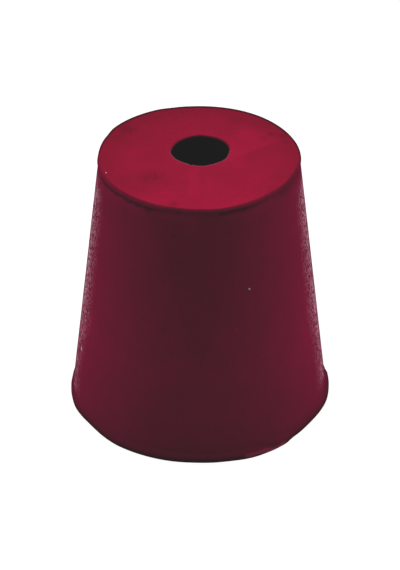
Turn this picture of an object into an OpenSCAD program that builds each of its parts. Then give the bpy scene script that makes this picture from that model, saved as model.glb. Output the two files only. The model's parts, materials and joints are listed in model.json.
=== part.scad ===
// One-hole rubber stopper: a tapered plug, moulded in one piece.
// It stands on its wide end. The origin is the centre of that end, and +Z points to the narrow end.

/* [Body] */
// Diameter of the wide end, over its lip
wide_d = 24; // [20:0.5:34]
// Diameter of the narrow end, over its rim
narrow_d = 18; // [14:0.5:19.5]
// Height between the two flat ends
height = 25; // [15:0.5:40]

/* [Hole] */
// Diameter of the hole that grips a glass tube
hole_d = 5.1; // [3:0.1:8]
// How far the hole runs behind the middle of the stopper
hole_back = 0.85; // [0:0.05:1.5]
// How far the hole runs to the right of the middle
hole_right = 0.1; // [-0.5:0.05:0.5]

/* [Lip of the wide end] */
// How far the lip stands out from the foot of the tapered side
lip_proud = 0.2; // [0.1:0.01:0.5]
// Height of the lip's upright face above the wide end
lip_h = 0.45; // [0.3:0.05:1.2]
// Radius of the lip's lower edge
lip_edge_r = 0.2; // [0.05:0.05:0.25]
// Height over which the lip runs out into the side
lip_blend_h = 0.5; // [0.2:0.05:1]

/* [Rim of the narrow end] */
// How far the rim stands out from the top of the tapered side
rim_proud = 0.08; // [0.02:0.01:0.14]
// Height of the rim, from the narrow end down to its foot
rim_h = 0.4; // [0.35:0.05:1]
// Radius of the rim's upper edge
rim_edge_r = 0.2; // [0.05:0.05:0.2]
// Depth of the shallow groove that the mould leaves under the rim
groove_depth = 0.06; // [0.02:0.01:0.2]
// Height of that groove
groove_h = 0.75; // [0.4:0.05:1.5]

/* [Hidden] */
$fn = 180;

wide_r = wide_d / 2;
narrow_r = narrow_d / 2;
foot_r = wide_r - lip_proud; // the side where it leaves the lip
neck_r = narrow_r - rim_proud; // the side where it meets the rim
foot_z = lip_h;
neck_z = height - rim_h;
arc_steps = 5; // flats that stand for a rounded edge
curve_steps = 8; // flats that stand for a blend or a groove
hole_overrun = 1; // what the hole's cutter sticks out past each end

// Radius of the plain tapered side at a height
function side_r(z) = foot_r + (neck_r - foot_r) * (z - foot_z) / (neck_z - foot_z);

// Falls smoothly from 1 to 0 while t goes from 0 to 1
function ease_out(t) = (1 + cos(180 * t)) / 2;

// Rises smoothly from 0 to 1 and falls back while t goes from 0 to 1
function swell(t) = (1 - cos(360 * t)) / 2;

function arc(centre, r, from, to) = [
  for (i = [0 : arc_steps])
    let (a = from + (to - from) * i / arc_steps)
      centre + r * [cos(a), sin(a)]
];

// The lip runs out into the side without a corner
function lip_blend() = [
  for (i = [1 : curve_steps])
    let (t = i / curve_steps, z = foot_z + t * lip_blend_h)
      [side_r(z) + lip_proud * ease_out(t), z]
];

// The side dips under the rim
function groove() = [
  for (i = [0 : curve_steps])
    let (t = i / curve_steps, z = neck_z - (1 - t) * groove_h)
      [side_r(z) - groove_depth * swell(t), z]
];

// Half of the stopper's section, from the middle of the wide end round to the middle of the narrow end
function section() = concat(
  [[0, 0]],
  arc([wide_r - lip_edge_r, lip_edge_r], lip_edge_r, -90, 0),
  [[wide_r, lip_h]],
  lip_blend(),
  groove(),
  [[narrow_r, neck_z + rim_proud]], // the rim's foot slopes out at 45 degrees
  arc([narrow_r - rim_edge_r, height - rim_edge_r], rim_edge_r, 0, 90),
  [[0, height]]
);

module stopper() {
  color([0.56, 0.06, 0.15])
    difference() {
      rotate_extrude() polygon(section());
      translate([hole_right, hole_back, -hole_overrun])
        cylinder(d = hole_d, h = height + 2 * hole_overrun);
    }
}

stopper();
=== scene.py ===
"""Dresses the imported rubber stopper: a finely meshed body, red rubber, a pale floor, soft lights
and a camera."""

import json
import math

import bpy
import numpy as np
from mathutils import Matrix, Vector, noise

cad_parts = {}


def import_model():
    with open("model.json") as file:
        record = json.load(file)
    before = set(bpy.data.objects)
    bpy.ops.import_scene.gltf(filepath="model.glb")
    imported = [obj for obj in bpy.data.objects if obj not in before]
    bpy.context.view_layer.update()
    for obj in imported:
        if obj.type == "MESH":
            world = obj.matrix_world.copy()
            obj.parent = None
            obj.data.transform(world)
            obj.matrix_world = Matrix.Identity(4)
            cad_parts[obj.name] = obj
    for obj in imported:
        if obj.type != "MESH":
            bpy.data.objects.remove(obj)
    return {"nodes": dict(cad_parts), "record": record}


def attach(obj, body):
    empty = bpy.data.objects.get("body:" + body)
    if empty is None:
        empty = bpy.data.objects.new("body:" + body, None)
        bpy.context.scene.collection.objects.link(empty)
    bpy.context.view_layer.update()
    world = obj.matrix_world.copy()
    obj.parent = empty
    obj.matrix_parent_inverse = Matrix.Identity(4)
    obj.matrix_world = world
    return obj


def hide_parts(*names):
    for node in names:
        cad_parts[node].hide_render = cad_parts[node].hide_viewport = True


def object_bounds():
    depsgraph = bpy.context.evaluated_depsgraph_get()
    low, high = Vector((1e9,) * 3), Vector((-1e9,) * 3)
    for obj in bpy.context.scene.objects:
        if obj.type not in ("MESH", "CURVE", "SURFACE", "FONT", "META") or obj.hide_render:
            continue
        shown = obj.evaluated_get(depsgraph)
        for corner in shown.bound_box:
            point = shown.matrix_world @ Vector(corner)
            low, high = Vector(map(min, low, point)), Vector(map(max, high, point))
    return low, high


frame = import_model()
cad_low, cad_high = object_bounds()

MM = 0.001
TURN = 2 * math.pi

# ---- Sizes from the frame ----
STOPPER = frame["nodes"]["stopper"]
MOUNTS = {mount["name"]: mount for mount in frame["record"]["mounts"]}
HOLE_X, HOLE_Y, _ = MOUNTS["tube_hole"]["pos_m"]
HOLE_R = MOUNTS["tube_hole"]["dims"]["r_mm"] * MM
HEIGHT = cad_high.z

# ---- Heights where the source's side changes ----
LIP_TOP = 0.45 * MM  # top of the lip's upright face
LIP_END = 0.95 * MM  # where the lip has run out into the side
GROOVE_START = HEIGHT - 1.15 * MM
RIM_FOOT = HEIGHT - 0.4 * MM

# ---- Radii of the rounded edges ----
LIP_EDGE_R = 0.2 * MM
RIM_EDGE_R = 0.3 * MM  # at the front
RIM_BACK_EDGE_R = 0.1 * MM
HOLE_EDGE_R = 0.05 * MM  # the hole's edge is nearly sharp

# ---- How far each edge is out of round: direction in degrees, rising, and mm outwards ----
LIP_SWELL = (
    (-177, 0.0), (-172, 0.035), (-163, 0.08), (-147, -0.12), (-127, 0.09), (-105, 0.1),
    (-92, 0.06), (-80, 0.12), (-66, 0.28), (-57, 0.23), (-51, 0.16), (-43, -0.1), (-33, -0.15),
    (-10, 0.13), (6, 0.12), (9, 0.01), (60, 0.03), (120, -0.04), (168, -0.075), (176, -0.055),
)
RIM_SWELL = (
    (-172, 0.03), (-152, 0.12), (-125, 0.11), (-115, 0.17), (-103, 0.08), (-92, 0.12),
    (-78, 0.2), (-62, 0.07), (-45, -0.1), (-34, -0.03), (-25, -0.07), (0, -0.01), (30, -0.08),
    (60, -0.06), (92, -0.1), (104, -0.05), (117, 0.1), (146, 0.17), (158, 0.02), (174, -0.03),
)
HOLE_SWELL = (
    (-172, 0.08), (-150, 0.03), (-120, -0.06), (-85, 0.06), (-60, -0.03), (-35, 0.04),
    (-12, -0.03), (30, 0.1), (74, 0.06), (90, 0.12), (115, 0.03), (160, 0.0),
)

# ---- Other wear ----
RIM_SWELL_FOOT = HEIGHT - 0.8 * MM  # the rim's swell runs out here
HOLE_SWELL_FOOT = HEIGHT - 1.5 * MM  # the hole's swell runs out here
GAP_LEFT = (-4.2 * MM, -2.6 * MM)  # x where the gap in the groove starts, and where it is full
GAP_RIGHT = (2 * MM, 1.1 * MM)
GAP_FILL = 0.05 * MM  # how far the side stands out in the gap
WAVES = ((5 * MM, 0.012 * MM, 1), (1.3 * MM, 0.005 * MM, 2))  # size, height and noise seed
FACE_SAG = 0.01 * MM
FACE_WAVE = (3 * MM, 0.008 * MM, 3)
NICK = (-0.81 * MM, -1.65 * MM)  # a chip out of the hole's edge
NICK_SIZE = 0.12 * MM
NICK_DEPTH = 0.12 * MM
NICK_FOOT = HEIGHT - 0.6 * MM

# ---- Mesh ----
RING = 456  # points round the stopper
OUTER_EDGE_STEPS = 8
HOLE_EDGE_STEPS = 4
HOLE_STEPS = 25
HOLE_CROWDING = 1.5  # above 1, the rows down the hole lie closer together near the top
TOP_STEPS = 33
FOOT_STEPS = 14
END_CROWDING = 1.4  # above 1, the rows of both ends lie closer together near the hole


# ---- Shape ----
def ramp(value, start, end):
    """Goes smoothly from 0 to 1 while value goes from start to end, upwards or downwards."""
    t = np.clip((value - start) / (end - start), 0, 1)
    return t * t * (3 - 2 * t)


def cad_outline():
    """Heights and radii of the CAD part's outer side, from the wide end up."""
    points = np.array([v.co for v in STOPPER.data.vertices])
    off_hole = np.hypot(points[:, 0] - HOLE_X, points[:, 1] - HOLE_Y)
    points = points[off_hole > 1.05 * HOLE_R]  # leaves out the hole's own points
    heights = points[:, 2].round(6)
    radii = np.hypot(points[:, 0], points[:, 1])
    levels = np.unique(heights)
    return levels, np.array([radii[heights == level].max() for level in levels])


def swell(direction, knots):
    """Metres outwards in each direction, running smoothly through the knots."""
    at, amount = np.array(knots, float).T
    at = np.append(at, at[0] + 360)
    amount = np.append(amount, amount[0]) * MM
    degrees = (np.degrees(direction) - at[0]) % 360 + at[0]
    k = np.clip(np.searchsorted(at, degrees, side="right") - 1, 0, len(at) - 2)
    t = ramp(degrees, at[k], at[k + 1])
    return amount[k] * (1 - t) + amount[k + 1] * t


def relief(points, size, height, seed):
    """Smooth noise up and down to the given height, with bumps of about the given size."""
    offset = Vector((seed * 17.3, seed * 5.1, seed * 9.7))
    return np.array([noise.noise(Vector(p / size) + offset) for p in points]) * height


def side_rows(edge_r):
    """(radius, height) up the outer side, with the rim's edge rounded to the given radius."""
    stretches = (
        (LIP_EDGE_R, LIP_TOP, 3), (LIP_TOP, LIP_END, 8), (LIP_END, GROOVE_START, 91),
        (GROOVE_START, RIM_FOOT, 11), (RIM_FOOT, HEIGHT - edge_r, 2),
    )
    quarter = np.linspace(0, TURN / 4, OUTER_EDGE_STEPS + 1)
    heights = np.concatenate([
        LIP_EDGE_R * (1 - np.cos(quarter)),
        *(np.linspace(low, high, steps + 1)[1:] for low, high, steps in stretches),
        HEIGHT - edge_r * (1 - np.sin(quarter[1:])),
    ])
    levels, radii = cad_outline()
    rim_r = radii[levels > RIM_FOOT].max()
    over = np.clip(heights - (HEIGHT - edge_r), 0, edge_r)
    rounded = rim_r - edge_r + np.sqrt(edge_r ** 2 - over ** 2)
    plain = np.interp(heights, levels, radii)
    return list(zip(np.where(over > 0, np.minimum(plain, rounded), plain), heights))


def flat_rows(outer_r, z, steps):
    """Rows from the edge of an end in to the hole, closer together near the hole."""
    inner_r = HOLE_R + HOLE_EDGE_R
    shares = 1 - (1 - np.linspace(0, 1, steps + 1)) ** END_CROWDING
    return [(outer_r + (inner_r - outer_r) * t, z, t) for t in shares[1:]]


def hole_rows():
    """Rows down the hole, closer together near the top, with both its edges rounded."""
    bend = np.linspace(0, TURN / 4, HOLE_EDGE_STEPS + 1)[1:]
    edge = [
        (HOLE_R + HOLE_EDGE_R - HOLE_EDGE_R * math.sin(a), HOLE_EDGE_R * (1 - math.cos(a)))
        for a in bend
    ]
    straight = HEIGHT - 2 * HOLE_EDGE_R
    depths = HOLE_EDGE_R + straight * np.linspace(0, 1, HOLE_STEPS + 1)[1:-1] ** HOLE_CROWDING
    return (
        [(r, HEIGHT - depth, 1.0) for r, depth in edge]
        + [(HOLE_R, HEIGHT - depth, 1.0) for depth in depths]
        + [(r, depth, 1.0) for r, depth in reversed(edge)]
    )


def section(edge_r):
    """Once round the section: radius, height, and how far the row's centre is from the stopper's
    axis (0) to the hole's (1)."""
    side = [(r, z, 0.0) for r, z in side_rows(edge_r)]
    top = flat_rows(side[-1][0], HEIGHT, TOP_STEPS)
    foot = flat_rows(side[0][0], 0.0, FOOT_STEPS)
    return np.array(side + top + hole_rows() + foot[::-1])


def out_of_round(points):
    """How far each point of the outer side stands out from the plain shape."""
    x, y, height = points.T
    direction = np.arctan2(y, x)
    lip = ramp(height, LIP_END, LIP_TOP)
    rim = ramp(height, RIM_SWELL_FOOT, RIM_FOOT)
    # the groove under the rim is missing at the front, right below the middle of the face's edge
    gap = ramp(x, *GAP_LEFT) * ramp(x, *GAP_RIGHT) * (y < 0)
    groove = (
        ramp(height, GROOVE_START, GROOVE_START + 0.3 * MM)
        * ramp(height, RIM_FOOT + 0.1 * MM, RIM_FOOT)
    )
    return (
        swell(direction, LIP_SWELL) * lip
        + swell(direction, RIM_SWELL) * rim
        + gap * groove * GAP_FILL
        + sum(relief(points, *wave) for wave in WAVES)
    )


def worn(points):
    """Moves the plain points to where moulding, trimming and use left them."""
    height = points[:, 2]
    radius = np.hypot(points[:, 0], points[:, 1])
    outward = points[:, :2] / radius[:, None]
    from_hole = points[:, :2] - (HOLE_X, HOLE_Y)
    off_hole = np.hypot(*from_hole.T)
    moved = points.copy()

    outer_share = ramp(radius, 5 * MM, 8.5 * MM)
    moved[:, :2] += outward * (out_of_round(points) * outer_share)[:, None]

    hole_share = ramp(height, HOLE_SWELL_FOOT, HEIGHT) * ramp(off_hole, HOLE_R + MM, HOLE_R)
    hole_swell = swell(np.arctan2(from_hole[:, 1], from_hole[:, 0]), HOLE_SWELL)
    moved[:, :2] += from_hole / off_hole[:, None] * (hole_swell * hole_share)[:, None]

    on_top = (height > HEIGHT - 1e-7) & (off_hole > HOLE_R)
    sag = FACE_SAG - relief(points, *FACE_WAVE)
    off_nick = np.sum((points[:, :2] - NICK) ** 2, axis=1)
    chip = np.exp(-off_nick / NICK_SIZE ** 2) * (height > NICK_FOOT)
    moved[:, 2] -= on_top * sag + NICK_DEPTH * chip
    return moved


def stopper_body():
    """The whole stopper as one closed grid, up the side, over the top and down the hole."""
    angle = np.arange(RING) * TURN / RING
    front = ramp(-np.sin(angle), 0.09, 0.39)[None, :, None]  # 1 round the front, 0 at the back
    rows = (
        section(RIM_EDGE_R)[:, None] * front
        + section(RIM_BACK_EDGE_R)[:, None] * (1 - front)
    )
    r, z, share = np.moveaxis(rows, -1, 0)
    points = np.stack(
        [share * HOLE_X + r * np.cos(angle), share * HOLE_Y + r * np.sin(angle), z], axis=-1
    ).reshape(-1, 3)
    here = np.arange(len(points)).reshape(-1, RING)
    above = np.roll(here, -1, axis=0)
    quads = np.stack(
        [here, np.roll(here, -1, axis=1), np.roll(above, -1, axis=1), above], axis=-1
    ).reshape(-1, 4)

    mesh = bpy.data.meshes.new("stopper_body")
    mesh.from_pydata(worn(points).tolist(), [], quads.tolist())
    mesh.polygons.foreach_set("use_smooth", [True] * len(mesh.polygons))
    plain = mesh.attributes.new("plain", "FLOAT_VECTOR", "POINT")
    plain.data.foreach_set("vector", points.ravel())
    mesh.update()
    body = bpy.data.objects.new("stopper_body", mesh)
    bpy.context.scene.collection.objects.link(body)
    body.data.materials.append(red_rubber())
    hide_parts("stopper")
    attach(body, "root")


# ---- Shader nodes ----
class Nodes:
    """Short calls that add and join the nodes of one material."""

    def __init__(self, name):
        self.material = bpy.data.materials.new(name)
        self.material.use_nodes = True
        self.tree = self.material.node_tree
        self.tree.nodes.clear()

    def add(self, kind, **settings):
        node = self.tree.nodes.new(kind)
        for key, value in settings.items():
            setattr(node, key, value)
        return node

    def put(self, value, socket):
        """Links a socket to the value, or sets it where the value is a constant."""
        if isinstance(value, bpy.types.NodeSocket):
            self.tree.links.new(value, socket)
        else:
            socket.default_value = value

    def maths(self, operation, *values):
        node = self.add("ShaderNodeMath", operation=operation)
        for value, socket in zip(values, node.inputs):
            self.put(value, socket)
        return node.outputs[0]

    def chain(self, operation, *values):
        """The values joined one after another by the operation."""
        result = values[0]
        for value in values[1:]:
            result = self.maths(operation, result, value)
        return result

    def times(self, *values):
        return self.chain("MULTIPLY", *values)

    def plus(self, *values):
        return self.chain("ADD", *values)

    def most(self, *values):
        return self.chain("MAXIMUM", *values)

    def minus(self, a, b):
        return self.maths("SUBTRACT", a, b)

    def absolute(self, value):
        return self.maths("ABSOLUTE", value)

    def off(self, mask):
        """1 off the mask, and 0 on it."""
        return self.minus(1.0, mask)

    def changed(self, mask, change):
        """1 off the mask, and 1 + change on it."""
        return self.maths("MULTIPLY_ADD", mask, change, 1.0)

    def span(self, value, low, high, to_low=0.0, to_high=1.0, even=False):
        """Goes from to_low to to_high while value goes from low to high, smoothly or evenly,
        and no further."""
        kind = "LINEAR" if even else "SMOOTHSTEP"
        node = self.add("ShaderNodeMapRange", interpolation_type=kind)
        for socket, setting in zip(node.inputs, (value, low, high, to_low, to_high)):
            self.put(setting, socket)
        return node.outputs[0]

    def band(self, value, low, high, soft):
        """1 where value is between low and high, with soft ends."""
        return self.times(
            self.span(value, low - soft, low + soft), self.span(value, high + soft, high - soft)
        )

    def near(self, place, spot, size, full=0.0):
        """1 up to the distance full from a spot, and 0 from the distance size on."""
        node = self.add("ShaderNodeVectorMath", operation="DISTANCE")
        self.put(place, node.inputs[0])
        node.inputs[1].default_value = spot
        return self.span(node.outputs["Value"], size, full)

    def noise(self, place, size, detail=2.0):
        node = self.add("ShaderNodeTexNoise")
        self.put(place, node.inputs["Vector"])
        node.inputs["Scale"].default_value = 1 / size
        node.inputs["Detail"].default_value = detail
        return node.outputs["Fac"]

    def bump(self, height, distance):
        node = self.add("ShaderNodeBump")
        node.inputs["Distance"].default_value = distance
        self.put(height, node.inputs["Height"])
        return node.outputs[0]

    def mix(self, share, a, b, kind="RGBA"):
        """Goes from a to b as share goes from 0 to 1: colours, or numbers where kind is FLOAT."""
        first, second, result = {"FLOAT": (2, 3, 0), "RGBA": (6, 7, 2)}[kind]
        node = self.add("ShaderNodeMix", data_type=kind)
        for value, socket in ((share, 0), (a, first), (b, second)):
            self.put(value, node.inputs[socket])
        return node.outputs[result]

    def tint(self, colour, tone):
        node = self.add("ShaderNodeVectorMath", operation="SCALE")
        self.put(colour, node.inputs[0])
        self.put(tone, node.inputs["Scale"])
        return node.outputs[0]

    def finish(self, shader):
        out = self.add("ShaderNodeOutputMaterial")
        self.put(shader, out.inputs["Surface"])
        return self.material


class Place:
    """Where a point of the stopper was before it was worn, so that masks keep to the edges."""

    def __init__(self, n):
        self.xyz = n.add("ShaderNodeAttribute", attribute_name="plain").outputs["Vector"]
        split = n.add("ShaderNodeSeparateXYZ")
        n.put(self.xyz, split.inputs[0])
        self.x, self.y, self.z = split.outputs
        join = n.add("ShaderNodeCombineXYZ")
        n.put(self.x, join.inputs[0])
        n.put(self.y, join.inputs[1])
        self.plan = join.outputs[0]


# ---- Rubber ----
FACE_R = 9 * MM
AXIS = (0, 0, 0)
HOLE_CENTRE = (HOLE_X, HOLE_Y, 0)
GRAIN = 0.2 * MM

SIDE_RED = (0.36, 0.0005, 0.056, 1)
FACE_RED = (0.36, 0.0005, 0.034, 1)
PALE_PINK = (1, 0.66, 0.76, 1)
# Painted shade and painted highlight for the hole's brink.
BRINK_SHADE = (0.14, 0.002, 0.02, 1)
BRINK_HIGHLIGHT = (0.25, 0.1, 0.16, 1)
# Painted shade: the hole's wall is black.
BORE_SHADE = (0.004, 0.003, 0.003, 1)
SHEEN_GREY = (0.335, 0.245, 0.3)

# Painted shade: how light the side is at each height in mm, darkest at the foot where shade falls
# near the floor, and a little darker towards the top.
SIDE_PAINTED_SHADE = (
    (0, 0.1), (0.2, 0.21), (0.4, 0.35), (0.7, 0.53), (1, 0.69), (1.5, 0.8), (2, 0.84),
    (3, 0.88), (4.5, 0.93), (6.5, 0.99), (8.5, 1.07), (13, 1.01), (18, 0.94), (25, 0.91),
)

# Lighter and darker places on the face: x, y and size in mm, and the change in tone.
FACE_MARKS = (
    (-6.4, 4.3, 0.9, -0.28), (-6.8, 5.3, 1.1, -0.24), (-5.8, 4.5, 0.7, -0.15),
    (-7.2, 3.0, 1.2, -0.12), (-6.4, 2.0, 1.1, -0.1), (-4.5, 6.4, 1.3, -0.08),
    (-6.8, 0.4, 1.8, -0.06), (6.42, 3.7, 0.6, -0.26), (7.55, 3.4, 0.75, -0.24),
    (7.75, 2.35, 0.7, -0.14), (5.75, 2.95, 0.7, -0.18), (6.2, 5.4, 1.0, -0.06),
    (3.4, 6.3, 1.2, -0.1), (4.1, 4.3, 1.6, 0.12), (-1.0, 5.0, 4.5, 0.08),
    (2.9, -1.0, 2.2, 0.12), (-4.2, -3.6, 1.7, -0.2), (-4.6, -4.2, 3.0, -0.1),
    (-6.6, -3.9, 1.2, -0.1), (-2.2, -8.1, 0.6, -0.3), (-2.6, -6.3, 2.0, 0.12),
    (3.4, -6.6, 2.4, 0.06), (2.8, -4.0, 2.8, -0.04), (-2.15, -7.65, 0.45, -0.15),
    (-3.2, -4.0, 2.6, -0.07), (5.0, -5.3, 2.4, 0.07), (-7.7, -0.6, 1.8, -0.08),
    (-5.2, -5.8, 1.6, -0.06), (7.4, 1.2, 1.5, -0.06),
)
# The same on the side: x, y, z and size in mm, and the change in tone. Those from 23.9 mm up paint
# light and shade into the band under the rim, and the wide one at 22.4 mm paints shade high on the
# left.
SIDE_MARKS_AND_PAINTED_LIGHT = (
    (-2.22, -8.92, 22.32, 0.4, -0.3), (-3.14, -9.81, 13.01, 0.4, -0.25),
    (3.26, -9.77, 13.08, 0.3, 0.35), (5.5, -9.17, 9.75, 0.3, 0.2),
    (0.8, -11.3, 4.4, 4.4, 0.13), (-0.9, -9.0, 23.9, 1.6, 0.22),
    (-3.8, -8.16, 24.4, 0.6, 0.2), (2.25, -8.67, 24.6, 0.45, -0.25),
    (-2.4, -8.8, 24.0, 0.9, 0.12), (-6.36, -6.36, 24.75, 0.7, -0.1),
    (-8.75, -2.35, 24.0, 0.7, -0.16), (-8.2, -3.85, 23.95, 0.6, -0.12),
    (-8.9, -3.2, 22.4, 1.8, -0.1), (-4.42, -7.81, 24.12, 0.6, -0.36),
    (-1.77, -8.76, 24.63, 0.45, -0.2), (-3.2, -8.38, 24.5, 0.8, 0.14),
    (4.6, -7.7, 24.85, 1.0, -0.14), (3.2, -8.4, 24.7, 0.6, -0.1),
    (5.8, -6.9, 24.85, 0.8, -0.1),
)
# Straight streaks on the face: left, right, front and back end in mm, and the change in tone.
FACE_STREAKS = (
    (-1.0, -0.1, -6.6, -2.3, 0.1), (0.75, 1.15, -6.2, -3.2, 0.06),
    (-6.15, -5.95, 3.2, 5.1, -0.09), (-7.15, -6.95, 3.6, 4.6, -0.08),
)
# Grains of pale dust: x, y, z and size in mm.
FLECKS = ((4.34, -8.84, 16.74, 0.15), (-10.78, -2.76, 6.05, 0.26), (-8.04, -2.9, 25, 0.08))


def patchy(n, place, size, low, high):
    """Wanders between low and high, in patches of about the given size."""
    return n.span(n.noise(place.xyz, size), 0.3, 0.7, low, high)


def by_side(n, place, left, right):
    """One value on the left of the stopper and another on the right."""
    return n.span(place.x, -1 * MM, 1 * MM, left, right)


def marks(n, place, spots):
    """What the marks together do to the tone."""
    return n.times(*(
        n.changed(n.near(place.xyz, (x * MM, y * MM, z * MM), size * MM), change)
        for x, y, z, size, change in spots
    ))


def streaks(n, place):
    """What the straight streaks on the face together do to the tone."""
    return n.times(*(
        n.changed(
            n.times(
                n.band(place.x, left * MM, right * MM, 0.12 * MM),
                n.band(place.y, front * MM, back * MM, 0.4 * MM),
            ),
            change,
        )
        for left, right, front, back, change in FACE_STREAKS
    ))


def dust(n, place, drop=0.0):
    """1 on the grains of dust, or on the places a drop below them."""
    return n.most(*(
        n.near(place.xyz, (x * MM, y * MM, z * MM - drop), size * MM, 0.3 * size * MM)
        for x, y, z, size in FLECKS
    ))


def painted_shade_by_height(n, place):
    """Follows SIDE_PAINTED_SHADE, the painted shade by height, at half its value inside the ramp
    because some of it passes 1.
    """
    ramp_node = n.add("ShaderNodeValToRGB")
    points = ramp_node.color_ramp.elements
    for k, (height, tone) in enumerate(SIDE_PAINTED_SHADE):
        point = points[k] if k < 2 else points.new(1.0)
        point.position = height * MM / HEIGHT
        point.color = (tone / 2, tone / 2, tone / 2, 1)
    n.put(n.span(place.z, 0.0, HEIGHT, even=True), ramp_node.inputs[0])
    return n.times(ramp_node.outputs["Color"], 2.0)


def ledge_highlight_and_crease_shade(n, place):
    """A painted highlight on the ledge low on the right, where the lip stands out, and painted
    shade in a fold just above it.
    """
    ledge_patch = n.near(place.plan, (5.95 * MM, -10.4 * MM, 0), 2.4 * MM, 1.8 * MM)
    worst = n.near(place.plan, (6.2 * MM, -10.2 * MM, 0), 1.3 * MM, 0.6 * MM)
    uneven = n.plus(
        place.z,
        patchy(n, place, 0.9 * MM, -0.06 * MM, 0.06 * MM),
        n.span(place.x, 5.2 * MM, 6.6 * MM, 0.0, 0.1 * MM),
    )
    height = n.minus(uneven, n.times(worst, 0.04 * MM))
    # Painted highlight along the lip's ledge; painted shade in the fold just above it.
    ledge_highlight = n.times(
        ledge_patch,
        n.span(uneven, 0.2 * MM, 0.34 * MM),
        n.span(height, 0.62 * MM, 0.46 * MM),
    )
    crease_shade = n.times(worst, n.band(height, 0.7 * MM, 0.82 * MM, 0.08 * MM))
    return ledge_highlight, crease_shade


def foot_painted_light_and_shade(n, place, ledge_highlight, crease_shade):
    """The painted shade by height, darker at both ends of the foot, with painted shade in the fold
    above the ledge and a painted highlight on the ledge."""
    ends = n.times(
        n.span(n.absolute(place.x), 10.8 * MM, 11.9 * MM), n.span(place.z, 1.2 * MM, 0.7 * MM)
    )
    plain = n.times(painted_shade_by_height(n, place), n.changed(ends, by_side(n, place, -0.12, -0.3)))
    return n.times(n.mix(ledge_highlight, plain, 1.25, "FLOAT"), n.changed(crease_shade, -0.35))


def rim_painted_light_and_shade(n, place):
    """Painted shade in a groove that follows the rim, missing at the front and climbing to the
    rim's edge on the right, with painted light on a crest below it and in the gap at the front, a
    thin painted shadow under the edge in the gap, and more painted shade at both ends."""
    below_top = n.minus(HEIGHT, place.z)
    wobble = patchy(n, place, 1.1 * MM, -0.13 * MM, 0.13 * MM)
    ragged = patchy(n, place, 0.35 * MM, -0.06 * MM, 0.06 * MM)
    depth = n.plus(wobble, ragged, below_top)
    groove_depth = n.plus(
        n.span(place.x, -8 * MM, 4 * MM, 0.7 * MM, 0.42 * MM, even=True),
        n.span(place.x, 4 * MM, 8.4 * MM, 0.0, -0.16 * MM, even=True),
    )
    gap = n.times(
        n.span(place.x, 2.1 * MM, 1.2 * MM), n.span(place.x, *GAP_LEFT),
        n.span(place.y, 0.0, -3 * MM),
    )
    off_gap = n.off(gap)
    # Painted shade along the groove under the rim.
    groove = n.times(
        n.span(n.absolute(n.minus(depth, groove_depth)), 0.3 * MM, 0.08 * MM),
        off_gap,
        n.span(place.x, 3 * MM, 7 * MM, 1.0, 0.2),
        n.span(place.y, 0.0, 4 * MM, 1.0, 0.4),
        n.span(n.noise(place.xyz, 0.7 * MM), 0.3, 0.6, 0.6, 1.2),
    )
    crest_light = n.times(
        n.band(depth, 0.95 * MM, 1.45 * MM, 0.2 * MM), off_gap, n.span(place.x, 6 * MM, 3 * MM)
    )
    gap_light = n.times(n.band(below_top, 0.42 * MM, 0.72 * MM, 0.1 * MM), gap)
    shoulder = n.times(
        n.band(below_top, 0.7 * MM, 1.1 * MM, 0.12 * MM),
        n.times(gap, n.span(place.x, -0.5 * MM, -1.6 * MM)),
    )
    under_edge = n.times(n.band(below_top, 0.1 * MM, 0.35 * MM, 0.05 * MM), gap)
    right_end = n.times(
        n.span(place.x, 5.9 * MM, 7.8 * MM), n.span(depth, 1.4 * MM, 0.7 * MM)
    )
    left_end = n.times(
        n.span(place.x, -4.2 * MM, -5.8 * MM), n.span(depth, 0.55 * MM, 0.3 * MM)
    )
    return n.times(
        n.changed(groove, -0.42), n.changed(crest_light, 0.08), n.changed(gap_light, 0.41),
        n.changed(shoulder, 0.12), n.changed(under_edge, -0.1),
        n.changed(right_end, -0.32), n.changed(left_end, -0.12),
    )


def side_painted_light_and_marks(n, place, ledge_highlight, crease_shade):
    """Painted light and shade at the foot and the rim, the side's marks, and a faint dark wedge on
    the front, wide at the top and narrow lower down.
    """
    half_width = n.times(n.minus(place.z, 8.3 * MM), 0.28)
    wedge = n.times(
        n.span(n.minus(n.absolute(place.x), half_width), 0.4 * MM, -0.6 * MM),
        n.span(place.y, 0.0, -4 * MM),
    )
    return n.times(
        foot_painted_light_and_shade(n, place, ledge_highlight, crease_shade),
        rim_painted_light_and_shade(n, place),
        n.changed(wedge, -0.08),
        marks(n, place, SIDE_MARKS_AND_PAINTED_LIGHT),
    )


def face_marks_and_painted_light(n, place):
    """The face is lighter towards the front, which is painted light, and lighter on a wedge right
    of the hole and round the hole. Its edge is darker, except at the very front, and darkest at
    the front right."""
    # Painted light: the face grows lighter towards the front.
    towards_front = n.span(place.y, 9 * MM, -9 * MM, 1.0, 1.32)
    outer = n.off(n.near(place.plan, AXIS, FACE_R, 6.2 * MM))
    edge_change = n.span(place.y, -4.5 * MM, -8 * MM, -0.14, 0.06)
    right_edge = n.times(
        n.off(n.near(place.plan, AXIS, FACE_R, 8.4 * MM)),
        n.span(place.x, 3.2 * MM, 4.4 * MM),
        n.span(place.y, 0.0, -1.5 * MM),
    )
    across = n.maths(
        "MULTIPLY_ADD", place.x, -0.6, n.maths("MULTIPLY_ADD", place.y, 0.8, 2.3 * MM)
    )
    wedge = n.times(
        n.span(across, -0.15 * MM, 0.25 * MM),
        n.near(place.plan, (4.4 * MM, 1.8 * MM, 0), 3.2 * MM, 1.4 * MM),
    )
    halo = n.near(place.plan, HOLE_CENTRE, HOLE_R + 1.4 * MM, HOLE_R + 0.2 * MM)
    flat_marks = [(x, y, HEIGHT / MM, size, change) for x, y, size, change in FACE_MARKS]
    strength = patchy(n, place, 0.5 * MM, 0.5, 1.5)
    return n.times(
        towards_front,
        n.changed(outer, edge_change),
        n.changed(right_edge, -0.18),
        n.changed(wedge, 0.22),
        streaks(n, place),
        n.changed(halo, 0.06),
        n.maths("POWER", marks(n, place, flat_marks), strength),
    )


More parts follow.
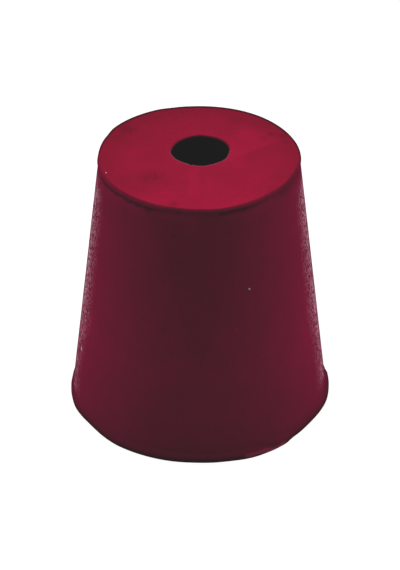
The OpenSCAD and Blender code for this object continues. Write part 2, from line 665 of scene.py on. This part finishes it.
def skin_colour(n, place, in_face, in_bore, cloud):
    """Red in the tones of the side and the face, with a dark back edge, pale dust, a little pale
    in the painted highlight on the ledge, a painted highlight and painted shade on the brink of
    the hole, and painted shade black in the hole."""
    ledge_highlight, crease_shade = ledge_highlight_and_crease_shade(n, place)
    back_edge = n.times(
        n.span(place.z, HEIGHT - 0.34 * MM, HEIGHT - 0.28 * MM),
        n.off(n.near(place.plan, (0, -0.3 * MM, 0), 8.95 * MM, 8.72 * MM)),
        n.span(place.y, -1.5 * MM, 1.5 * MM),
    )
    tone = n.times(
        n.mix(in_face, side_painted_light_and_marks(n, place, ledge_highlight, crease_shade), face_marks_and_painted_light(n, place), "FLOAT"),
        n.changed(back_edge, -0.65),
        n.span(cloud, 0.25, 0.75, 0.95, 1.05),
        n.span(n.noise(place.xyz, 0.5 * MM, 1.0), 0.25, 0.75, 0.975, 1.025),
    )
    rounded_edge = n.span(place.z, HEIGHT - 0.3 * MM, HEIGHT - 0.1 * MM, 0.0, 0.45)
    skin = n.tint(n.mix(n.most(in_face, rounded_edge), SIDE_RED, FACE_RED), tone)

    pale = n.most(n.span(dust(n, place), 0.0, 0.6), n.times(ledge_highlight, 0.03))
    skin = n.mix(pale, skin, PALE_PINK)

    # Painted highlight on the brink in front of the hole, and painted shade on the rest of it.
    before_hole = n.span(place.y, HOLE_Y + 1.2 * MM, HOLE_Y - 1.8 * MM)
    on_brink = n.times(
        in_face, n.near(place.plan, HOLE_CENTRE, HOLE_R + 0.16 * MM, HOLE_R + 0.1 * MM)
    )
    skin = n.mix(n.times(on_brink, 0.5), skin, n.mix(before_hole, BRINK_SHADE, BRINK_HIGHLIGHT))
    # The hole is painted black as shade.
    return n.mix(in_bore, skin, BORE_SHADE)


def matt_skin(n, place, in_face, in_bore, grain):
    """The rubber itself, with a fine relief that is fainter on the face."""
    cloud = n.noise(place.xyz, 2.6 * MM, 3.0)
    grains = n.times(dust(n, place, 0.1 * MM), n.span(in_face, 0.0, 1.0, 14.0, 0.0))
    height = n.plus(grains, n.times(grain, n.changed(in_face, -0.7)))
    shader = n.add("ShaderNodeBsdfPrincipled")
    n.put(skin_colour(n, place, in_face, in_bore, cloud), shader.inputs["Base Color"])
    n.put(n.span(cloud, 0.3, 0.7, 0.55, 0.7), shader.inputs["Roughness"])
    shader.inputs["Specular IOR Level"].default_value = 0.0
    n.put(n.bump(height, 0.016 * MM), shader.inputs["Normal"])
    return shader.outputs[0]


def grey_sheen(n, place, grain):
    """What the tops of the pebbles reflect."""
    strength = n.times(
        n.span(grain, 0.42, 0.6, 0.0, 2.1), patchy(n, place, 1.2 * MM, 0.7, 1.3)
    )
    shader = n.add("ShaderNodeBsdfAnisotropic")
    n.put(n.tint(SHEEN_GREY, strength), shader.inputs["Color"])
    shader.inputs["Roughness"].default_value = 0.4
    n.put(n.bump(grain, 0.08 * MM), shader.inputs["Normal"])
    return shader.outputs[0]


def sheen_share(n, place, in_bore):
    """How much of the sheen shows: on the pebbled side only, at a low angle, less towards the
    foot, and fading at the very edge."""
    at_foot = n.span(place.z, 11 * MM, 4 * MM)
    start = n.plus(n.times(at_foot, by_side(n, place, 0.09, 0.055)), 0.615)
    facing = n.add("ShaderNodeLayerWeight").outputs["Facing"]
    low_angle = n.maths("POWER", n.span(facing, start, 0.9, even=True), 1.5)
    very_edge = n.span(facing, 0.86, 0.93, 1.0, 0.2)
    above_lip = n.minus(place.z, by_side(n, place, 0.35 * MM, 1.5 * MM))
    pebbled = n.times(
        n.span(above_lip, 0.0, 0.9 * MM),
        n.span(place.z, HEIGHT - 0.9 * MM, HEIGHT - 3 * MM),
        n.changed(at_foot, by_side(n, place, -0.45, -0.3)),
        n.off(in_bore),
    )
    return n.times(low_angle, very_edge, pebbled, 0.55)


def red_rubber():
    """Matt red rubber whose finely pebbled side catches a grey sheen at a low angle."""
    n = Nodes("red_rubber")
    place = Place(n)
    in_face = n.span(place.z, HEIGHT - 0.01 * MM, HEIGHT - 0.005 * MM)
    in_bore = n.times(
        n.near(place.plan, HOLE_CENTRE, HOLE_R + 0.3 * MM, HOLE_R + 0.2 * MM),
        n.span(place.z, 0.02 * MM, 0.04 * MM),
        n.span(place.z, HEIGHT - 0.02 * MM, HEIGHT - 0.24 * MM),
    )
    upright = n.add("ShaderNodeVectorMath", operation="MULTIPLY")
    n.put(place.xyz, upright.inputs[0])
    upright.inputs[1].default_value = (1, 1, 0.75)  # pebbles a little taller than wide
    grain = n.noise(upright.outputs[0], GRAIN, 1.0)

    join = n.add("ShaderNodeMixShader")
    n.put(sheen_share(n, place, in_bore), join.inputs[0])
    n.put(matt_skin(n, place, in_face, in_bore, grain), join.inputs[1])
    n.put(grey_sheen(n, place, grain), join.inputs[2])
    return n.finish(join.outputs[0])


# ---- Studio ----
WHITE = (1, 1, 1, 1)
FLOOR_CORNERS = 64
FLOOR_GLOW = 0.96
SKY_SEEN = 1.05  # how bright the sky is in the picture
SKY_LIGHT = 0.055  # how bright it is as a light

CAMERA_ELEVATION = math.radians(33.59)
CAMERA_DISTANCE = 0.225
CAMERA_LENS = 156.16
CAMERA_AIM = (0.06 * MM, 0, 11.23 * MM)

BLACK_LEVEL = -0.013


def pale_floor():
    """Matt, with a glow of its own that keeps it pale all over."""
    n = Nodes("pale_floor")
    shader = n.add("ShaderNodeBsdfPrincipled")
    shader.inputs["Base Color"].default_value = (0.2, 0.2, 0.2, 1)
    shader.inputs["Roughness"].default_value = 0.9
    shader.inputs["Emission Color"].default_value = WHITE
    shader.inputs["Emission Strength"].default_value = FLOOR_GLOW
    return n.finish(shader.outputs[0])


def floor():
    """A round floor, 1 m in radius."""
    angles = [TURN * k / FLOOR_CORNERS for k in range(FLOOR_CORNERS)]
    mesh = bpy.data.meshes.new("floor")
    corners = [(math.cos(angle), math.sin(angle), 0) for angle in angles]
    mesh.from_pydata(corners, [], [tuple(range(FLOOR_CORNERS))])
    disc = bpy.data.objects.new("floor", mesh)
    bpy.context.scene.collection.objects.link(disc)
    disc.data.materials.append(pale_floor())
    disc.visible_diffuse = False


def world():
    """White behind the stopper, but dim as a light."""
    sky = bpy.data.worlds.new("studio")
    bpy.context.scene.world = sky
    sky.use_nodes = True
    tree = sky.node_tree
    tree.nodes.clear()
    path = tree.nodes.new("ShaderNodeLightPath")
    join = tree.nodes.new("ShaderNodeMixShader")
    tree.links.new(path.outputs["Is Camera Ray"], join.inputs[0])
    for socket, strength in ((join.inputs[1], SKY_LIGHT), (join.inputs[2], SKY_SEEN)):
        background = tree.nodes.new("ShaderNodeBackground")
        background.inputs["Color"].default_value = WHITE
        background.inputs["Strength"].default_value = strength
        tree.links.new(background.outputs[0], socket)
    out = tree.nodes.new("ShaderNodeOutputWorld")
    tree.links.new(join.outputs[0], out.inputs["Surface"])


def softbox(name, place, size, watts):
    """A rectangular lamp that faces the middle of the stopper."""
    light = bpy.data.lights.new(name, "AREA")
    light.shape = "RECTANGLE"
    light.size, light.size_y = size
    light.energy = watts
    lamp = bpy.data.objects.new(name, light)
    lamp.location = place
    to_stopper = Vector((0, 0, HEIGHT / 2)) - Vector(place)
    lamp.rotation_euler = to_stopper.to_track_quat("-Z", "Y").to_euler()
    lamp.visible_camera = False
    bpy.context.scene.collection.objects.link(lamp)
    return lamp


def lights():
    """A large lamp behind and above the stopper, and one on each side."""
    backdrop = softbox("backdrop", (0, 0.5, 0.25), (1.4, 0.9), 5.9)
    backdrop.visible_glossy = False
    softbox("left", (-0.55, 0, 0.25), (0.7, 0.7), 1.5)
    softbox("right", (0.55, 0, 0.25), (0.7, 0.7), 1.7)


def camera():
    """Looks down at the stopper from the front, as the photograph does."""
    back = CAMERA_DISTANCE * math.cos(CAMERA_ELEVATION)
    up = CAMERA_DISTANCE * math.sin(CAMERA_ELEVATION)
    eye = bpy.data.objects.new("camera", bpy.data.cameras.new("camera"))
    eye.data.sensor_width = 36
    eye.data.lens = CAMERA_LENS
    eye.data.clip_start = 0.01
    eye.data.clip_end = 5
    eye.location = (0, -back, HEIGHT / 2 + up)
    eye.rotation_euler = (Vector(CAMERA_AIM) - eye.location).to_track_quat("-Z", "Y").to_euler()
    bpy.context.scene.collection.objects.link(eye)
    bpy.context.scene.camera = eye


def lifted_blacks():
    """The photograph's blacks are a dark grey, as a little stray light makes them."""
    view = bpy.context.scene.view_settings
    view.view_transform = "Standard"
    view.use_curve_mapping = True
    view.curve_mapping.black_level = (BLACK_LEVEL,) * 3
    view.curve_mapping.update()


stopper_body()
floor()
world()
lights()
camera()
lifted_blacks()
